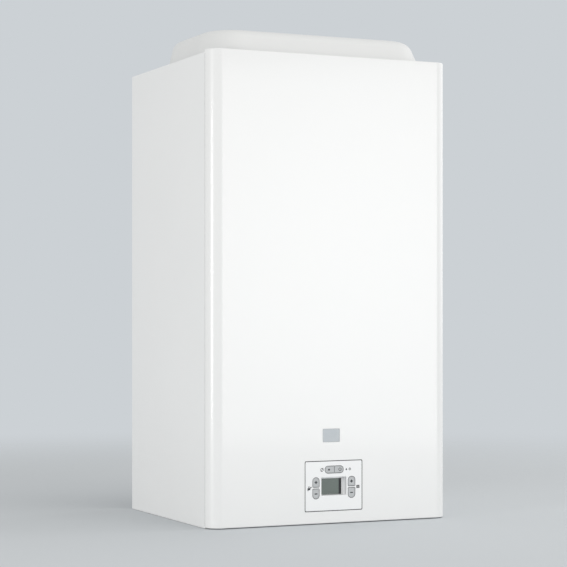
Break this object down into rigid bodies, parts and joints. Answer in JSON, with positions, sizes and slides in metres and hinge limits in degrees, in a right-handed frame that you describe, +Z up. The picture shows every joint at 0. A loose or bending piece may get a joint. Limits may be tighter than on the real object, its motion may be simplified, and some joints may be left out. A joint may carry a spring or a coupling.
{
  "type": "combi boiler",
  "caption": "Wall-hung combi boiler: white case with wrap-round front cover, moulded flue hood, drop-down control box with display and buttons, combustion unit and water group.",
  "frame": {"origin": "floor plane of the case, under the middle of its width and depth", "axes": "+Z up, +Y back towards the wall, +X to the right seen from the front"},
  "size_m": [0.395, 0.33, 0.7375],
  "materials": {
    "case_paint": "semi-gloss white powder coat",
    "hood_plastic": "satin moulded white",
    "fascia_plastic": "semi-gloss white",
    "button_rubber": "matt light grey",
    "display_glass": "clear over a grey-green display",
    "box_plastic": "matt grey",
    "board": "green laminate",
    "badge": "satin, bare",
    "galvanised": "galvanised",
    "stainless": "satin",
    "cast_aluminium": "as cast",
    "copper": "bright copper",
    "brass": "satin",
    "red_paint": "semi-gloss red",
    "motor_paint": "matt black",
    "black_plastic": "matt",
    "yellow_plastic": "satin",
    "foam": "cellular foam",
    "ceramic": "glazed ceramic"
  },
  "bodies": {
    "chassis": {"back_frame": "galvanised", "side_panel_left": "case_paint", "side_panel_right": "case_paint", "top_panel": "galvanised", "pipe_tray": "galvanised", "lower_rail": "galvanised", "top_hood": "hood_plastic", "wall_bracket": "galvanised", "expansion_vessel": "red_paint", "heat_exchanger": "cast_aluminium", "burner_door": "cast_aluminium", "burner_tube": "stainless", "ignition_electrode": "ceramic", "fan_housing": "cast_aluminium", "fan_motor": "motor_paint", "intake_silencer": "black_plastic", "gas_valve": "cast_aluminium", "gas_pipe": "copper", "flue_duct": "black_plastic", "flue_socket": "black_plastic", "flue_collar": "black_plastic", "condensate_trap": "black_plastic", "pump_body": "brass", "pump_motor": "cast_aluminium", "plate_heat_exchanger": "stainless", "flow_pipe": "copper", "return_pipe": "copper", "diverter_valve": "brass", "diverter_actuator": "black_plastic", "relief_valve": "brass", "air_vent": "brass", "ch_flow_valve": "brass", "hot_water_outlet": "brass", "gas_cock": "brass", "cold_inlet_valve": "brass", "ch_return_valve": "brass"},
    "front_cover": {"front_panel": "case_paint", "badge_plate": "badge", "panel_gasket": "foam", "panel_screw_left": "stainless", "panel_screw_right": "stainless"},
    "control_box": {"control_box_shell": "box_plastic", "control_fascia": "fascia_plastic", "display_lens": "display_glass", "display_module": "black_plastic", "control_board": "board"},
    "mode_button": {"mode_button": "button_rubber"},
    "reset_button": {"reset_button": "button_rubber"},
    "hot_water_up_button": {"hot_water_up_button": "button_rubber"},
    "hot_water_down_button": {"hot_water_down_button": "button_rubber"},
    "heating_up_button": {"heating_up_button": "button_rubber"},
    "heating_down_button": {"heating_down_button": "button_rubber"},
    "fan_impeller": {"fan_impeller": "black_plastic"},
    "pump_rotor": {"pump_rotor": "stainless"},
    "diverter_spindle": {"diverter_spindle": "stainless"},
    "ch_flow_lever": {"ch_flow_lever": "black_plastic"},
    "gas_lever": {"gas_lever": "yellow_plastic"},
    "cold_inlet_lever": {"cold_inlet_lever": "black_plastic"},
    "ch_return_lever": {"ch_return_lever": "black_plastic"},
    "relief_knob": {"relief_knob": "red_paint"}
  },
  "joints": [
    {"name": "front_panel_slide", "type": "slide", "parent": "chassis", "child": "front_cover", "axis": [0, -1, 0], "range_m": [0, 0.4]},
    {"name": "control_box_tilt", "type": "hinge", "parent": "chassis", "child": "control_box", "pos_m": [0, -0.15, 0.02], "axis": [1, 0, 0], "range_deg": [0, 90]},
    {"name": "mode_button_press", "type": "slide", "parent": "control_box", "child": "mode_button", "axis": [0, 1, 0], "range_m": [0, 0.001], "stiffness_N_per_m": 700},
    {"name": "reset_button_press", "type": "slide", "parent": "control_box", "child": "reset_button", "axis": [0, 1, 0], "range_m": [0, 0.001], "stiffness_N_per_m": 700},
    {"name": "hot_water_up_button_press", "type": "slide", "parent": "control_box", "child": "hot_water_up_button", "axis": [0, 1, 0], "range_m": [0, 0.001], "stiffness_N_per_m": 700},
    {"name": "hot_water_down_button_press", "type": "slide", "parent": "control_box", "child": "hot_water_down_button", "axis": [0, 1, 0], "range_m": [0, 0.001], "stiffness_N_per_m": 700},
    {"name": "heating_up_button_press", "type": "slide", "parent": "control_box", "child": "heating_up_button", "axis": [0, 1, 0], "range_m": [0, 0.001], "stiffness_N_per_m": 700},
    {"name": "heating_down_button_press", "type": "slide", "parent": "control_box", "child": "heating_down_button", "axis": [0, 1, 0], "range_m": [0, 0.001], "stiffness_N_per_m": 700},
    {"name": "fan_spin", "type": "hinge", "parent": "chassis", "child": "fan_impeller", "pos_m": [0.12, -0.088, 0.41], "axis": [0, 1, 0], "continuous": true},
    {"name": "pump_spin", "type": "hinge", "parent": "chassis", "child": "pump_rotor", "pos_m": [0.12, 0.005, 0.1253], "axis": [0, 1, 0], "continuous": true},
    {"name": "diverter_travel", "type": "slide", "parent": "chassis", "child": "diverter_spindle", "axis": [0, 0, 1], "range_m": [0, 0.008]},
    {"name": "ch_flow_lever_turn", "type": "hinge", "parent": "chassis", "child": "ch_flow_lever", "pos_m": [-0.12, -0.0043, 0.032], "axis": [0, 1, 0], "range_deg": [0, 90]},
    {"name": "gas_lever_turn", "type": "hinge", "parent": "chassis", "child": "gas_lever", "pos_m": [0, -0.0043, 0.032], "axis": [0, 1, 0], "range_deg": [0, 90]},
    {"name": "cold_inlet_lever_turn", "type": "hinge", "parent": "chassis", "child": "cold_inlet_lever", "pos_m": [0.06, -0.0043, 0.032], "axis": [0, 1, 0], "range_deg": [0, 90]},
    {"name": "ch_return_lever_turn", "type": "hinge", "parent": "chassis", "child": "ch_return_lever", "pos_m": [0.12, -0.0043, 0.032], "axis": [0, 1, 0], "range_deg": [0, 90]},
    {"name": "relief_knob_turn", "type": "hinge", "parent": "chassis", "child": "relief_knob", "pos_m": [0.1683, 0.03, 0.1553], "axis": [0, 0, 1], "range_deg": [0, 90]}
  ],
  "couplings": [
    {"joint": "control_box_tilt", "follows": "front_panel_slide", "rad_per_m": 3.9269}
  ]
}
